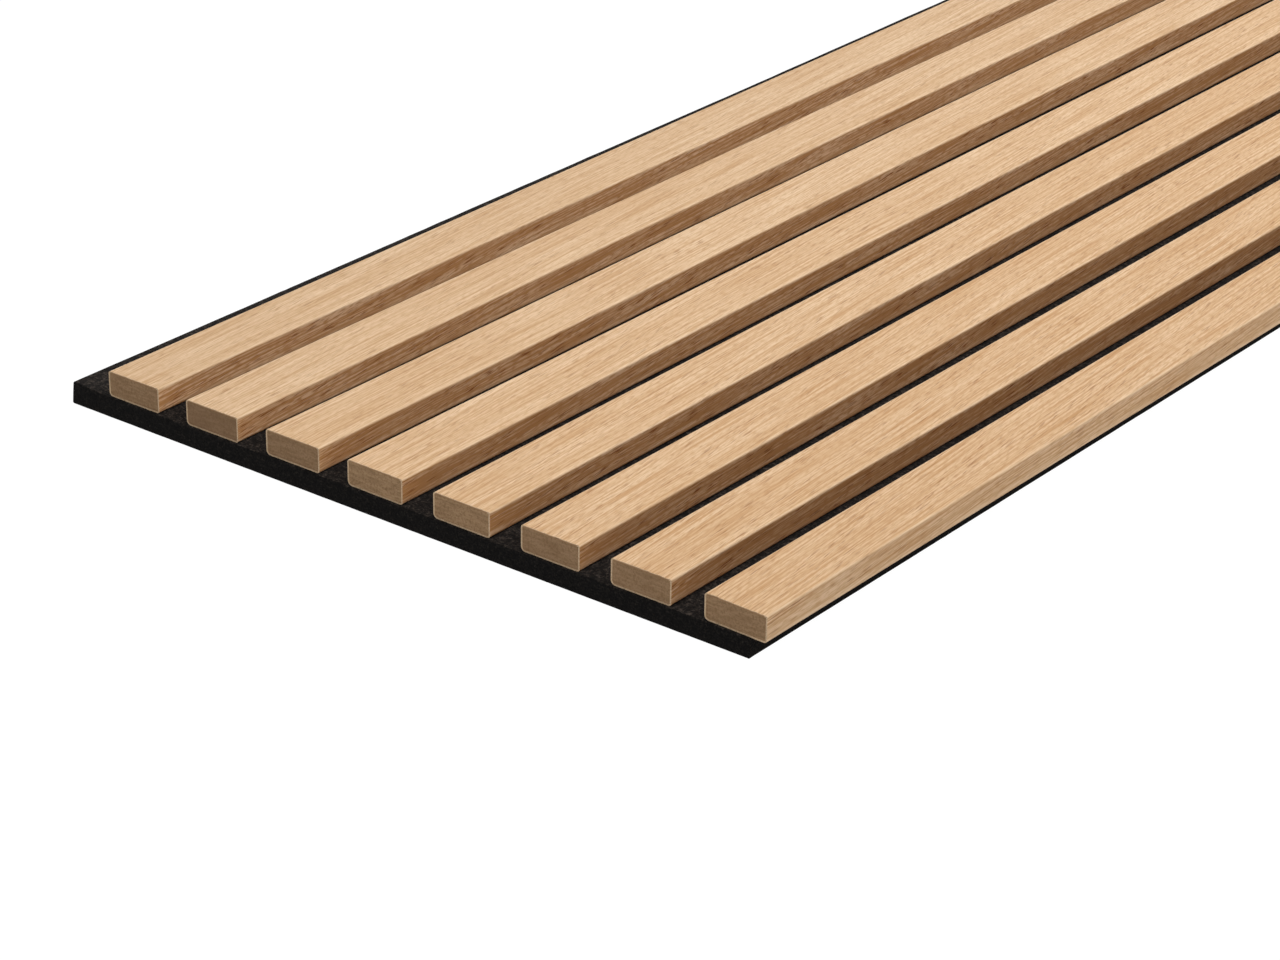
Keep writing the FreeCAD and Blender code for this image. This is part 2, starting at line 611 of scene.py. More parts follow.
@dataclass(frozen=True)
class Swelling:
    """How the felt swells at the near left corner and gives way under the last slat.

    The slats follow it. The felt's free edge at the corner curls up and out a little more.
    """

    lift: float = 0.5 * MM
    middle: float = -85.0 * MM
    spread: float = 95.0 * MM
    reach: float = 200.0 * MM
    curl: float = 1.0 * MM
    curl_reach: float = 420.0 * MM
    out_top: float = 0.6 * MM
    out_bottom: float = 1.6 * MM
    sag: float = 0.45 * MM
    sag_start: float = 139.0 * MM
    sag_width: float = 23.0 * MM

    def under_slats(self, x: float, y: float) -> float:
        """Return how far the felt lifts a slat at a place, or lets it down."""
        near = max(0.0, 1.0 - (y - FELT_BOX[0].y) / self.reach)
        lifted = self.lift * near * near * math.exp(-(((x - self.middle) / self.spread) ** 4))
        return lifted - self.sag * min(1.0, max(0.0, (x - self.sag_start) / self.sag_width))

    def free_edge(self, x: float, y: float) -> float:
        """Return 1 at the near left corner, falling to 0 at the first slat and farther along."""
        near = max(0.0, 1.0 - (y - FELT_BOX[0].y) / self.curl_reach)
        free = min(1.0, max(0.0, (FIRST_SLAT - x) / (FIRST_SLAT - FELT_BOX[0].x)))
        return near * free

    def felt_rise(self, x: float, y: float) -> float:
        """Return how far the felt's top stands up at a place."""
        return self.under_slats(x, y) + self.curl * self.free_edge(x, y)

    def outwards(self, x: float, y: float, share: float) -> float:
        """Return how far the free edge stands out, at a share of the felt's thickness."""
        return self.free_edge(x, y) * (self.out_bottom + (self.out_top - self.out_bottom) * share)


SWELLING = Swelling()


@dataclass(frozen=True)
class WearAndHighlightSpot:
    """A fold that is painted pale, partly for wear and partly as painted light, by its distances from a
    slat's side and from its top or underside.
    """

    aside: float
    depth: float
    reach: float

    def pale_share(self, aside: float, depth: float) -> float:
        """Return 1 at the spot's middle, falling to 0 at its reach."""
        return max(0.0, 1.0 - math.hypot(aside - self.aside, depth - self.depth) / self.reach)


@dataclass
class Slat:
    """One slat: a fibreboard core in a folded sheet of oak veneer.

    The folds' radii are those of the left and the right side. Each slat is cut sheet_steps
    farther on in the grain than the last one.
    """

    number: int
    tone: float
    core_tone: float
    top_folds: tuple = (1.0 * MM, 0.75 * MM)
    bottom_folds: tuple = (1.9 * MM, 1.2 * MM)
    fold_segments: int = 6
    sharp_degrees: float = 40.0
    seam_distance: float = 6.0 * MM
    seam_gap: float = 0.3 * MM
    row_step: float = 12.0 * MM
    end_rows: tuple = (0.0, 0.4 * MM, 0.9 * MM, 1.8 * MM, 4.0 * MM)
    least_flat: float = 3.0 * MM
    top_columns: int = 22
    side_columns: int = 7
    seed: int = 4100
    bow: float = 0.22 * MM
    bow_lengths: tuple = (0.8, 1.3)
    sheet_steps: tuple = (0.31, 2.9)
    # the upper folds are painted pale, partly wear and partly a painted highlight
    upper_wear_and_highlight: WearAndHighlightSpot = WearAndHighlightSpot(0.3 * MM, 0.1 * MM, 0.7 * MM)
    lower_wear_and_light: WearAndHighlightSpot = WearAndHighlightSpot(0.0, 1.4 * MM, 1.5 * MM)
    lower_paleness: float = 0.35
    # painted light: the open outer sides' lower fold is painted paler, as the white floor lights it
    open_lower_floor_light: float = 0.9
    # open_side_share: how much of the grooves' painted shade the open outer sides take
    open_side_share: float = 0.15
    side_start: float = 0.4 * MM
    side_fade: float = 0.9 * MM
    browned_layer: tuple = (0.75, 1.25)
    browned_inset: float = 1.0 * MM
    chip: float = 0.45 * MM
    chip_zone: float = 0.7 * MM
    chip_waves: tuple = (620.0, 3.0, 300.0)
    chip_step: float = 7.3
    chip_level: float = 0.12
    core_cuts: int = 40
    core_inset: float = 0.35 * MM
    core_rim: float = 0.2 * MM
    core_sink: float = 0.05 * MM
    core_face_share: float = 0.35
    outer: Corners = field(init=False)
    inner: Corners = field(init=False)
    veneer_thickness: float = field(init=False)
    phase: float = field(init=False)
    bow_length: float = field(init=False)
    sheet_shift: Vector = field(init=False)

    def __post_init__(self) -> None:
        """Read the slat's solids and draw its own small differences."""
        self.outer = node_box(self.veneer_node)
        self.inner = node_box(self.core_node)
        self.veneer_thickness = self.inner[0].x - self.outer[0].x
        rng = random.Random(self.seed + self.number)
        self.phase = rng.uniform(0.0, math.tau)
        self.bow_length = rng.uniform(*self.bow_lengths)
        self.sheet_shift = Vector(step * self.number for step in self.sheet_steps)

    @property
    def veneer_node(self) -> str:
        """The name of the veneer's node."""
        return f"slat_{self.number}_veneer"

    @property
    def core_node(self) -> str:
        """The name of the core's node."""
        return f"slat_{self.number}_core"

    @property
    def middle(self) -> float:
        """The slat's middle line across the panel."""
        return (self.outer[0].x + self.outer[1].x) / 2

    def sideways(self, along: float) -> float:
        """Return how far the slat bows out of line at a place along it."""
        return self.bow * math.sin(math.tau * along / self.bow_length + self.phase)

    def rows(self) -> list[float]:
        """Return the places along the slat at which the veneer has a row of points."""
        return fine_rows(self.outer[0].y, self.outer[1].y, self.end_rows, self.row_step)

    def section(self, corners: Corners, inset: float) -> BMesh:
        """Start a bmesh with the slat's rounded section at its near end.

        Args:
            corners: The lowest and highest corners of the piece.
            inset: How far inside the sheet's outer face the piece lies.

        Returns:
            A bmesh with one face.
        """
        low, high = corners
        shape = bmesh.new()
        bmesh.ops.create_grid(shape, x_segments=1, y_segments=1, size=0.5)
        size = Matrix.Diagonal((high.x - low.x, high.z - low.z, 1.0, 1.0))
        stand = Matrix.Rotation(math.radians(90.0), 4, "X")
        middle = Vector(((low.x + high.x) / 2, low.y, (low.z + high.z) / 2))
        place = Matrix.Translation(middle) @ stand @ size
        bmesh.ops.transform(shape, matrix=place, verts=shape.verts)
        for z, folds in ((low.z, self.bottom_folds), (high.z, self.top_folds)):
            for x, fold in zip((low.x, high.x), folds):
                corner = Vector((x, low.y, z))
                point = min(shape.verts, key=lambda one: (one.co - corner).length)
                bmesh.ops.bevel(
                    shape, geom=[point], offset=fold - inset, offset_type="OFFSET", affect="VERTICES",
                    segments=self.fold_segments, profile=0.5, material=-1,
                )
        return shape

    def open_ring(self) -> BMesh:
        """Draw the veneer's outline as a chain of edges.

        Returns:
            A bmesh with the chain alone, open at the seam.
        """
        shape = self.section(self.outer, 0.0)
        bmesh.ops.delete(shape, geom=list(shape.faces), context="FACES_ONLY")
        for edge in list(shape.edges):
            if edge.calc_length() < self.least_flat:
                continue
            first, second = (point.co for point in edge.verts)
            upright = abs(first.x - second.x) < self.least_flat
            if first.z < self.outer[0].z + self.least_flat and not upright:
                self.split_seam(shape, edge)
            else:
                cuts = self.side_columns if upright else self.top_columns
                bmesh.ops.subdivide_edges(shape, edges=[edge], cuts=cuts)
        return shape

    def split_seam(self, shape: BMesh, edge: BMEdge) -> None:
        """Cut the seam's narrow gap out of the outline's underside.

        Args:
            shape: The bmesh that holds the outline.
            edge: The edge along the underside.
        """
        start = min(edge.verts, key=lambda point: point.co.x)
        to_seam = self.outer[0].x + self.seam_distance - start.co.x
        rest, near = bmesh.utils.edge_split(edge, start, to_seam / edge.calc_length())
        _, far = bmesh.utils.edge_split(rest, near, self.seam_gap / rest.calc_length())
        gap = next(one for one in near.link_edges if far in one.verts)
        bmesh.ops.delete(shape, geom=[gap], context="EDGES")

    @staticmethod
    def place_key(point: BMVert) -> tuple[float, float]:
        """Return a point's place in the section, rounded so that it can be looked up."""
        return round(point.co.x, 6), round(point.co.z, 6)

    def places_around(self, shape: BMesh) -> dict[tuple[float, float], float]:
        """Measure the way round the outline.

        Args:
            shape: The open outline.

        Returns:
            The distance from the seam to each point, by the point's key.
        """
        ends = [point for point in shape.verts if len(point.link_edges) == 1]
        point = max(ends, key=lambda one: one.co.x)
        onward = list(point.link_edges)
        distance = 0.0
        places = {self.place_key(point): distance}
        while onward:
            edge = onward[0]
            distance += edge.calc_length()
            point = edge.other_vert(point)
            places[self.place_key(point)] = distance
            onward = [one for one in point.link_edges if one is not edge]
        return places

    def build_veneer(self, finishes: Sequence[Material]) -> Object:
        """Model the folded veneer.

        Args:
            finishes: The face finish and the finish of the sheet's sawn edges.

        Returns:
            The veneer's object.
        """
        rows = self.rows()
        step = (rows[-1] - rows[0]) / (len(rows) - 1)
        shape = self.open_ring()
        places = self.places_around(shape)
        outline = list(shape.verts) + list(shape.edges)
        bmesh.ops.spin(
            shape, geom=outline, cent=(0, 0, 0), axis=(0, 0, 1), dvec=(0, step, 0), angle=0.0,
            steps=len(rows) - 1, use_merge=False, use_duplicate=False,
        )
        for point in shape.verts:
            point.co.y = rows[round((point.co.y - rows[0]) / step)]
        sheet = shape.loops.layers.uv.new(Layer.SHEET.value)
        for face in shape.faces:
            for loop in face.loops:
                place = Vector((places[self.place_key(loop.vert)], loop.vert.co.y))
                loop[sheet].uv = place + self.sheet_shift
        self.face_outwards(shape)
        self.wear(shape)
        piece = new_piece(f"slat_{self.number}_oak", shape, finishes)
        wall = piece.modifiers.new("sheet", "SOLIDIFY")
        wall.thickness = self.veneer_thickness
        wall.offset = -1.0
        wall.use_even_offset = True
        wall.material_offset_rim = 1
        apply_modifiers(piece, self.sharp_degrees)
        set_tone(piece, self.tone)
        self.mark_surface(piece)
        return piece

    def face_outwards(self, shape: BMesh) -> None:
        """Turn every face of the sleeve away from the slat's middle line.

        Args:
            shape: The sleeve.
        """
        low, high = self.outer
        centre = (low + high) / 2
        inwards = []
        for face in shape.faces:
            face.normal_update()
            away = face.calc_center_median() - centre
            away.y = 0.0
            if face.normal.dot(away) < 0.0:
                inwards.append(face)
        bmesh.ops.reverse_faces(shape, faces=inwards)

    def wear(self, shape: BMesh) -> None:
        """Chip the sheet's sawn ends, bow it a little and set it on the uneven felt.

        Args:
            shape: The sleeve.
        """
        low, high = self.outer
        shift = (0.0, self.number * self.chip_step, 0.0)
        for point in shape.verts:
            place = point.co.copy()
            at_end = min(place.y - low.y, high.y - place.y) < SAME
            if at_end and place.z > high.z - self.chip_zone:
                parts = zip(place, self.chip_waves, shift)
                seed = Vector(part * waves + moved for part, waves, moved in parts)
                depth = max(0.0, noise.noise(seed) - self.chip_level) * self.chip
                point.co.y += math.copysign(depth, -place.y)
            point.co.x += self.sideways(place.y)
            point.co.z += SWELLING.under_slats(place.x, place.y)

    def mark_surface(self, piece: Object) -> None:
        """Mark the pale folds, partly wear and partly painted highlight, the grooves' sides and the top,
        which take painted shade, and the rim's brown band.

        Args:
            piece: The veneer, chipped, bowed and set on the felt.
        """
        low, high = self.outer
        least, most = self.browned_layer
        marks = {Layer.EDGE: [], Layer.GROOVE: [], Layer.TOP: [], Layer.BROWN_BAND: []}
        for point in piece.data.vertices:
            x = point.co.x - self.sideways(point.co.y)
            aside = min(x - low.x, high.x - x)
            drop = high.z + SWELLING.under_slats(x, point.co.y) - point.co.z
            is_open = self.number == (1 if x < self.middle else SLAT_COUNT)
            # painted light: the open outer sides' lower fold is painted paler, as the white floor lights
            # it; the grooves' lower folds are a little paler
            wear = self.open_lower_floor_light if is_open else self.lower_paleness
            lower = self.lower_wear_and_light.pale_share(aside, high.z - low.z - drop) * wear
            below = min(1.0, max(0.0, (drop - self.side_start) / self.side_fade))
            browned = aside > self.browned_inset and least < drop / self.veneer_thickness < most
            # the folds are painted pale, partly wear and partly a painted highlight
            marks[Layer.EDGE].append(max(self.upper_wear_and_highlight.pale_share(aside, drop), lower))
            # painted shade on the grooves' sides, and a little on the open outer sides
            marks[Layer.GROOVE].append(below * (self.open_side_share if is_open else 1.0))
            # painted shade on the tops
            marks[Layer.TOP].append(1.0 - below)
            marks[Layer.BROWN_BAND].append(1.0 if browned else 0.0)
        for name, values in marks.items():
            write_layer(piece, name, values)

    def build_core(self, finish: Material) -> Object:
        """Model the core, whose ends lie a little behind the veneer's rim.

        Args:
            finish: The fibreboard.

        Returns:
            The core's object.
        """
        low, high = self.inner
        length = high.y - low.y
        shape = self.section(self.inner, self.veneer_thickness)
        bmesh.ops.inset_region(shape, faces=list(shape.faces), thickness=self.core_inset, depth=0.0)
        geometry = list(shape.verts) + list(shape.edges) + list(shape.faces)
        extrude(shape, geometry, (0.0, length, 0.0))
        long_edges = [edge for edge in shape.edges if edge.calc_length() > length / 2]
        bmesh.ops.subdivide_edges(shape, edges=long_edges, cuts=self.core_cuts, use_grid_fill=True)
        bmesh.ops.recalc_face_normals(shape, faces=shape.faces)
        for point in shape.verts:
            x, y, z = point.co
            inside = min(x - low.x, high.x - x, z - low.z, high.z - z)
            if min(y - low.y, high.y - y) < SAME:
                sink = self.core_sink * (self.core_face_share if inside > self.core_rim else 1.0)
                point.co.y += math.copysign(sink, -y)
            point.co.z += SWELLING.under_slats(x, point.co.y)
            point.co.x += self.sideways(point.co.y)
        piece = new_piece(f"slat_{self.number}_board", shape, [finish])
        apply_modifiers(piece, self.sharp_degrees)
        set_tone(piece, self.core_tone)
        return piece


@dataclass(frozen=True)
class StapleLayout:
    """The middle of each staple along a slat, and the crown's length over the legs."""

    middles: list[float]
    crown: float

    @classmethod
    def read(cls, apart: float = 50.0 * MM) -> "StapleLayout":
        """Work the layout out from the first slat's staples, which all slats repeat.

        Args:
            apart: A distance that is more than a staple's length and less than their spacing.

        Returns:
            The layout.
        """
        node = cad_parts["slat_1_staples"]
        ys = sorted({round(point.co.y, 5) for point in node.data.vertices})
        groups = [[ys[0]]]
        for y in ys[1:]:
            if y - groups[-1][-1] > apart:
                groups.append([])
            groups[-1].append(y)
        middles = [(group[0] + group[-1]) / 2 for group in groups]
        return cls(middles, groups[0][-1] - groups[0][0])


@dataclass(frozen=True)
class StapleRow:
    """The bent wire staples that hold one slat from behind."""

    number: int
    layout: StapleLayout
    wire_thickness: float = 0.65 * MM
    inner_bend: float = 0.45 * MM
    chisel: float = 1.0 * MM
    bend_steps: int = 5
    sharp_degrees: float = 35.0

    @property
    def node(self) -> str:
        """The name of the staples' node."""
        return f"slat_{self.number}_staples"

    def build(self, finish: Material) -> Object:
        """Model every staple of the slat.

        Args:
            finish: The wire's finish.

        Returns:
            The staples' object.
        """
        shape = bmesh.new()
        for middle in self.layout.middles:
            self.bend_one(shape, middle)
        bmesh.ops.holes_fill(shape, edges=shape.edges, sides=4)
        bmesh.ops.recalc_face_normals(shape, faces=shape.faces)
        piece = new_piece(f"slat_{self.number}_wire", shape, [finish])
        apply_modifiers(piece, self.sharp_degrees)
        return piece

    def bend_one(self, shape: BMesh, middle: float) -> None:
        """Draw the wire of one staple from its first point to its last.

        Args:
            shape: The bmesh that takes it.
            middle: The staple's middle along the slat.
        """
        low, high = node_box(self.node)
        x = (low.x + high.x) / 2
        near = middle - self.layout.crown / 2
        far = middle + self.layout.crown / 2
        radius = self.inner_bend + self.wire_thickness
        leg = Vector((0.0, 0.0, high.z - low.z - radius))
        start = Vector((x, near + self.wire_thickness / 2, high.z))
        size = Matrix.Diagonal((high.x - low.x, self.wire_thickness, 1.0, 1.0))
        made = bmesh.ops.create_grid(shape, x_segments=1, y_segments=1, size=0.5)
        tip = made["verts"]
        bmesh.ops.transform(shape, matrix=Matrix.Translation(start) @ size, verts=tip)
        face = self.draw(shape, tip[0].link_faces[0], -leg)
        face = self.turn(shape, face, Vector((x, near + radius, low.z + radius)))
        face = self.draw(shape, face, Vector((0.0, self.layout.crown - 2 * radius, 0.0)))
        face = self.turn(shape, face, Vector((x, far - radius, low.z + radius)))
        face = self.draw(shape, face, leg)
        for point in tip + list(face.verts):
            if near + self.wire_thickness / 2 < point.co.y < far - self.wire_thickness / 2:
                point.co.z -= self.chisel

    @staticmethod
    def draw(shape: BMesh, face: BMFace, way: Vector) -> BMFace:
        """Draw the wire straight on.

        Args:
            shape: The bmesh that holds the wire.
            face: The wire's end face.
            way: How far it is drawn, and where to.

        Returns:
            The new end face.
        """
        end = bmesh.ops.extrude_discrete_faces(shape, faces=[face])["faces"][0]
        bmesh.ops.translate(shape, verts=end.verts, vec=way)
        return end

    def turn(self, shape: BMesh, face: BMFace, centre: Vector) -> BMFace:
        """Bend the wire through a quarter turn.

        Args:
            shape: The bmesh that holds the wire.
            face: The wire's end face.
            centre: The centre of the bend.

        Returns:
            The new end face.
        """
        part = Matrix.Rotation(math.radians(90.0 / self.bend_steps), 3, "X")
        for _ in range(self.bend_steps):
            face = bmesh.ops.extrude_discrete_faces(shape, faces=[face])["faces"][0]
            bmesh.ops.rotate(shape, cent=centre, matrix=part, verts=face.verts)
        return face


@dataclass(frozen=True)
class FeltBoard:
    """The needled felt board that carries the slats.

    A nap is the level and the swing of a face's fuzz, as shares of the nap's height.
    """

    slats: Sequence[Slat]
    layout: StapleLayout
    node: str = "felt_backing"
    row_step: float = 9.0 * MM
    end_rows: tuple = (0.0, 0.5 * MM, 1.2 * MM, 3.0 * MM)
    groove_columns: int = 6
    margin_columns: int = 8
    edge_column: float = 0.5 * MM
    slat_column: float = 7.0 * MM
    dimple_edge: float = 1.6 * MM
    crown_row: float = 0.6 * MM
    least_step: float = 0.4
    edge_round: float = 0.45 * MM
    edge_inset: float = 0.5
    nap: float = 0.16 * MM
    nap_waves: float = 260.0
    top_nap: tuple = (0.55, 0.55)
    edge_nap: tuple = (0.36, 0.6)
    crown_half_width: float = 0.48 * MM
    crown_seat: float = 1.15 * MM
    dimple: float = 0.18 * MM
    dimple_reach: tuple = (2.0 * MM, 1.0 * MM)
    sharp_degrees: float = 60.0

    def columns(self) -> list[float]:
        """Return the places across the board of its columns of points.

        Returns:
            The places in rising order.
        """
        low, high = FELT_BOX
        columns = evenly(low.x, self.slats[0].outer[0].x, self.margin_columns)
        columns.insert(1, low.x + self.edge_column)
        pressed = (-self.dimple_edge, -self.crown_half_width, self.crown_half_width, self.dimple_edge)
        for slat in self.slats:
            columns += [slat.outer[0].x, slat.middle - self.slat_column]
            columns += [slat.middle + aside for aside in pressed]
            if slat is self.slats[-1]:
                columns += [high.x - self.edge_column, high.x]
            else:
                following = self.slats[slat.number].outer[0].x
                columns += [slat.middle + self.slat_column]
                columns += evenly(slat.outer[1].x, following, self.groove_columns)
        return columns

    def rows(self) -> list[float]:
        """Return the places along the board of its rows of points, which crowd at the staples.

        Returns:
            The places in rising order.
        """
        low, high = FELT_BOX
        middles = self.layout.middles
        half = self.layout.crown / 2
        spread = (half + self.dimple_edge, half + self.crown_row, half, half - self.crown_row, half / 2)
        dense = [middle + side * gap for middle in middles for gap in spread for side in (-1.0, 1.0)]
        clear = spread[0] + self.row_step * self.least_step
        coarse = fine_rows(low.y, high.y, self.end_rows, self.row_step)
        kept = [row for row in coarse if all(abs(row - middle) > clear for middle in middles)]
        return sorted(kept + dense + middles)

    def build(self, finish: Material) -> Object:
        """Model the board with its nap, soft edges and the staples' dimples.

        Args:
            finish: The felt.

        Returns:
            The board's object.
        """
        low, high = FELT_BOX
        thickness = high.z - low.z
        columns = self.columns()
        rows = self.rows()
        shape = bmesh.new()
        bmesh.ops.create_grid(shape, x_segments=len(columns) - 1, y_segments=len(rows) - 1, size=0.5)
        for point in shape.verts:
            column = round((point.co.x + 0.5) * (len(columns) - 1))
            row = round((point.co.y + 0.5) * (len(rows) - 1))
            point.co = Vector((columns[column], rows[row], low.z))
        front = list(shape.faces)
        level = 0.0
        for height in (self.edge_round, thickness / 2, thickness - self.edge_round, thickness):
            raised = extrude(shape, front, (0.0, 0.0, height - level))
            if level > 0.0:
                bmesh.ops.delete(shape, geom=front, context="FACES")
            front = raised
            level = height
        bmesh.ops.recalc_face_normals(shape, faces=shape.faces)
        self.press(shape)
        piece = new_piece("felt_board", shape, [finish])
        apply_modifiers(piece, self.sharp_degrees)
        return piece

    def press(self, shape: BMesh) -> None:
        """Round the edges, raise the nap, swell the board and press the staples' crowns in.

        Args:
            shape: The board.
        """
        low, high = FELT_BOX
        face = shape.verts.layers.float.new(Layer.FACE.value)
        for point in shape.verts:
            place = point.co.copy()
            on_top = place.z > high.z - SAME
            on_back = place.z < low.z + SAME
            share = (place.z - low.z) / (high.z - low.z)
            fuzz = noise.noise(place * self.nap_waves)
            rounded = self.edge_round * self.edge_inset if on_top or on_back else 0.0
            inwards = max(0.0, rounded + self.nap_depth(fuzz, self.edge_nap))
            point[face] = 1.0 if on_top else 0.0
            point.co.x -= SWELLING.outwards(place.x, place.y, share)
            point.co.z += share * SWELLING.felt_rise(place.x, place.y)
            for axis in (0, 1):
                if min(place[axis] - low[axis], high[axis] - place[axis]) < SAME:
                    point.co[axis] += math.copysign(inwards, -place[axis])
            if on_top:
                point.co.z -= self.nap_depth(fuzz, self.top_nap)
            elif on_back:
                point.co.z += self.pressed_depth(place)

    def nap_depth(self, fuzz: float, nap: tuple[float, float]) -> float:
        """Return how far below its highest threads a face lies at a place."""
        level, swing = nap
        return self.nap * (level + swing * fuzz)

    def pressed_depth(self, place: Vector) -> float:
        """Work out how deep a staple presses the back.

        Args:
            place: The place on the back face.

        Returns:
            The depth in metres, 0 away from the staples.
        """
        half = self.layout.crown / 2
        aside = min(abs(place.x - slat.middle) for slat in self.slats)
        along = min(abs(place.y - middle) for middle in self.layout.middles)
        if aside > self.dimple_reach[0] or along > half + self.dimple_reach[1]:
            return 0.0
        if aside < self.crown_half_width + SAME and along < half + SAME:
            return self.crown_seat
        return self.dimple


@dataclass
class FeltFibres:
    """Loose fibres that stand out of the felt where it is open to view.

    Each starts a little under the surface, leaves it in a bow and comes back to it.
    """

    slats: Sequence[Slat]
    count: int = 4200
    radius: float = 0.022 * MM
    length: float = 3.2 * MM
    lengths: tuple = (0.4, 1.0)
    lift: float = 0.55 * MM
    lifts: tuple = (0.3, 1.0)
    most_bend: float = 0.9
    runs: int = 3
    root_depth: float = 0.12 * MM
    face_depth: float = 0.5 * MM
    from_edge: float = 3.0 * MM
    from_slat: float = 2.0 * MM
    from_back: float = 2.0 * MM
    from_top: float = 1.0 * MM
    end_lift_share: float = 0.2
    most_end_lift: float = 0.08 * MM
    flattened: float = 0.5
    seed: int = 77
    rng: random.Random = field(init=False)

    def build(self, finish: Material) -> Object:
        """Model the fibres as one mesh of thin bent threads.

        Args:
            finish: The felt.

        Returns:
            The fibres' object.
        """
        self.rng = random.Random(self.seed)
        curve = bpy.data.curves.new("felt_fibres", "CURVE")
        curve.dimensions = "3D"
        curve.bevel_depth = self.radius
        curve.bevel_resolution = 0
        curve.use_fill_caps = True
        for _ in range(self.count):
            self.add_fibre(curve, self.root_place())
        strands = add_object("felt_fibres", curve)
        depsgraph = bpy.context.evaluated_depsgraph_get()
        mesh = bpy.data.meshes.new_from_object(strands.evaluated_get(depsgraph))
        bpy.data.objects.remove(strands)
        mesh.materials.clear()
        mesh.materials.append(finish)
        piece = add_object("felt_fibres", mesh)
        face = FELT_BOX[1].z - self.face_depth
        write_layer(piece, Layer.FACE, [1.0 if point.co.z > face else 0.0 for point in mesh.vertices])
        return piece

    def root_place(self) -> Vector:
        """Choose a place for one fibre.

        Returns:
            A place on the felt's open top, or on its near end.
        """
        low, high = FELT_BOX
        y = self.rng.uniform(low.y + self.from_edge, high.y - self.from_edge)
        groove = self.rng.randrange(len(self.slats) + 1)
        if groove == len(self.slats):
            x = self.rng.uniform(low.x + self.from_edge, high.x - self.from_edge)
            return Vector((x, low.y, self.rng.uniform(low.z + self.from_back, high.z - self.from_top)))
        right = self.slats[groove].outer[0].x
        if groove == 0:
            x = self.rng.uniform(low.x + self.from_edge, right - self.from_edge)
        else:
            left = self.slats[groove - 1].outer[1].x
            x = self.rng.uniform(left + self.from_slat, right - self.from_slat)
        return Vector((x, y, high.z))

    def add_fibre(self, curve: Curve, root: Vector) -> None:
        """Add one bent fibre.

        Args:
            curve: The curve that takes it.
            root: Where it starts.
        """
        low, high = FELT_BOX
        spline = curve.splines.new("POLY")
        spline.points.add(self.runs)
        heading = self.rng.uniform(0.0, math.tau)
        bend = self.rng.uniform(-self.most_bend, self.most_bend)
        run = self.length * self.rng.uniform(*self.lengths) / self.runs
        on_top = root.z > high.z - SAME
        place = root.copy()
        for index, point in enumerate(spline.points):
            rise = self.lift * math.sin(math.pi * index / self.runs) * self.rng.uniform(*self.lifts)
            cosine, sine = math.cos(heading + bend * index), math.sin(heading + bend * index)
            if on_top:
                swollen = high.z + SWELLING.felt_rise(place.x, place.y)
                point.co = (place.x, place.y, swollen - self.root_depth + rise, 1.0)
                place += Vector((cosine, sine, 0.0)) * run
            else:
                out = min(rise * self.end_lift_share, self.most_end_lift)
                point.co = (place.x, low.y + self.root_depth - out, place.z, 1.0)
                place += Vector((cosine, 0.0, sine * self.flattened)) * run


@dataclass
class SlatPanel:
    """The whole panel: felt, slats, staples and loose fibres."""

    core_seed: int = 354582
    tones: tuple = (-0.7, 0.9)
    slats: list[Slat] = field(init=False)

    def __post_init__(self) -> None:
        """Make the slats from left to right, each a little darker, with cores of different tones."""
        rng = random.Random(self.core_seed)
        first, last = self.tones
        self.slats = []
        for number in range(1, SLAT_COUNT + 1):
            tone = first + (last - first) * (number - 1) / (SLAT_COUNT - 1)
            self.slats.append(Slat(number, tone, rng.uniform(-1.0, 1.0)))

    def build(self) -> None:
        """Build and dress every piece of the panel."""
        oak = OakVeneer().material()
        edge = VeneerEdge().material()
        board = Fibreboard().material()
        felt = NeedledFelt().material()
        wire = StapleWire().material()
        layout = StapleLayout.read()
        for slat in self.slats:
            self.place(slat.build_veneer([oak, edge]), Slot.OAK, slat.veneer_node)
            self.place(slat.build_core(board), Slot.FIBREBOARD, slat.core_node)
            staples = StapleRow(slat.number, layout)
            self.place(staples.build(wire), Slot.WIRE, staples.node)
        base = FeltBoard(self.slats, layout)
        self.place(base.build(felt), Slot.FELT, base.node)
        self.place(FeltFibres(self.slats).build(felt), Slot.FELT)

    @staticmethod
    def place(piece: Object, slot: Slot, *nodes: str) -> None:
        """Attach a piece to the panel's root and hide the solids of the nodes that it stands for.

        Args:
            piece: The finished piece.
            slot: The piece's material slot; not used.
            nodes: The nodes that it stands for.
        """
        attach(piece, "root")
        if nodes:
            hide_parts(*nodes)
        LOG.info("%s: %d faces", piece.name, len(piece.data.polygons))


# The studio


@dataclass(frozen=True)
class Lamp:
    """A long soft lamp that hangs along the panel and is turned towards it."""

    name: str
    aside: float
    height: float
    width: float
    watts: float
    along: float = 0.52
    length: float = 5.0

    def build(self) -> None:
        """Add the lamp to the scene."""
        light = bpy.data.lights.new(self.name, "AREA")
        light.shape = "RECTANGLE"
        light.size = self.width
        light.size_y = self.length
        light.energy = self.watts
        holder = add_object(self.name, light)
        holder.location = (self.aside, self.along, self.height)
        holder.rotation_euler = (0.0, math.atan2(self.aside, self.height), 0.0)
        holder.visible_camera = False


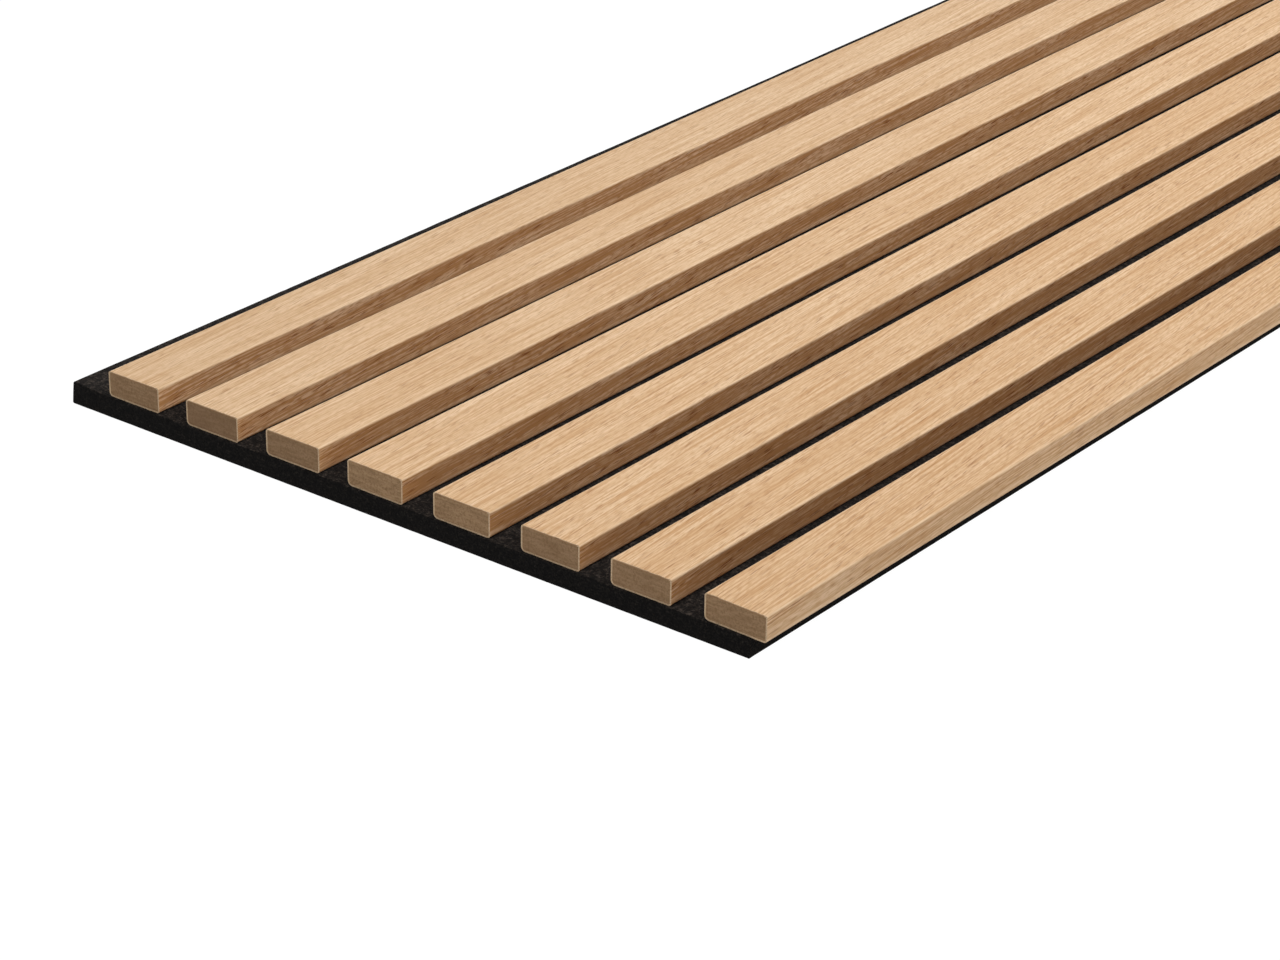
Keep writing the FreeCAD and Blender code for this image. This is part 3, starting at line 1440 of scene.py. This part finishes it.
@dataclass(frozen=True)
class Studio:
    """A white floor, soft lamps above the panel and on both sides of it, and the camera."""

    target: tuple = (0.04351, -1.11592, 0.0)
    azimuth: float = 37.778
    elevation: float = 25.962
    distance: float = 1.37511
    roll: float = -0.721
    lens: float = 106.14
    sensor: float = 36.0
    floor_size: float = 60.0
    floor_drop: float = 0.1 * MM
    floor_white: float = 0.92
    floor_glow: float = 1.06
    glow_share: float = 0.93
    sky: float = 0.02
    lamps: tuple = (
        Lamp("overhead", 0.13, 0.52, 0.30, 10.7),
        Lamp("right", 1.00, 1.28, 0.60, 22.4),
        Lamp("left", -0.96, 0.70, 0.80, 16.8),
    )

    def build(self) -> None:
        """Build the floor, the lights and the camera."""
        self.add_floor()
        self.add_sky()
        for lamp in self.lamps:
            lamp.build()
        self.add_camera()
        bpy.context.scene.view_settings.view_transform = "Standard"

    def add_floor(self) -> None:
        """Add a white floor that keeps only a faint shadow in the camera's view."""
        shape = bmesh.new()
        bmesh.ops.create_grid(shape, x_segments=1, y_segments=1, size=self.floor_size / 2)
        bmesh.ops.translate(shape, verts=shape.verts, vec=(0.0, 0.0, -self.floor_drop))
        floor = new_piece("studio_floor", shape, [self.floor_finish()])

    def floor_finish(self) -> Material:
        """Make the floor's material, whose glow doesn't light the panel.

        Returns:
            A material that looks white, with a small part of its own shading.
        """
        graph = Graph("studio_floor")
        white = graph.node("ShaderNodeBsdfDiffuse", {}, {"Color": (*[self.floor_white] * 3, 1.0)})
        glow = graph.node("ShaderNodeEmission", {}, {"Color": WHITE, "Strength": self.floor_glow})
        shaded = graph.node("ShaderNodeMixShader", {}, {0: self.glow_share, 1: white, 2: glow})
        mixed = graph.node("ShaderNodeMixShader", {}, {0: graph.looked_at(), 1: white, 2: shaded})
        return graph.finish(mixed)

    def add_sky(self) -> None:
        """Add an even soft sky, which the camera, mirrors and glass see as plain white."""
        graph = Graph("studio_sky", "World")
        light = graph.node("ShaderNodeBackground", {}, {"Color": WHITE, "Strength": self.sky})
        seen = graph.node("ShaderNodeBackground", {}, {"Color": WHITE, "Strength": 1.0})
        mixed = graph.node("ShaderNodeMixShader", {}, {0: graph.looked_at(), 1: light, 2: seen})
        bpy.context.scene.world = graph.finish(mixed)

    def add_camera(self) -> None:
        """Add the camera at the photograph's viewpoint."""
        turn, tilt, roll = (math.radians(angle) for angle in (self.azimuth, self.elevation, self.roll))
        reach = math.cos(tilt)
        forward = Vector((-math.sin(turn) * reach, math.cos(turn) * reach, -math.sin(tilt)))
        level = forward.cross(Vector((0.0, 0.0, 1.0))).normalized()
        up = level.cross(forward) * math.cos(roll) + level * math.sin(roll)
        right = forward.cross(up)
        lens = bpy.data.cameras.new("camera")
        lens.sensor_fit = "HORIZONTAL"
        lens.sensor_width = self.sensor
        lens.lens = self.lens
        lens.clip_start = 0.02
        lens.clip_end = 50.0
        holder = add_object("camera", lens)
        rotation = Matrix((right, up, -forward)).transposed().to_4x4()
        holder.matrix_world = Matrix.Translation(Vector(self.target) - forward * self.distance) @ rotation
        bpy.context.scene.camera = holder


def main() -> None:
    """Build the panel and the studio."""
    logging.basicConfig(level=logging.INFO, format="%(name)s: %(message)s")
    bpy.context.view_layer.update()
    SlatPanel().build()
    Studio().build()


if __name__ == "__main__":
    main()
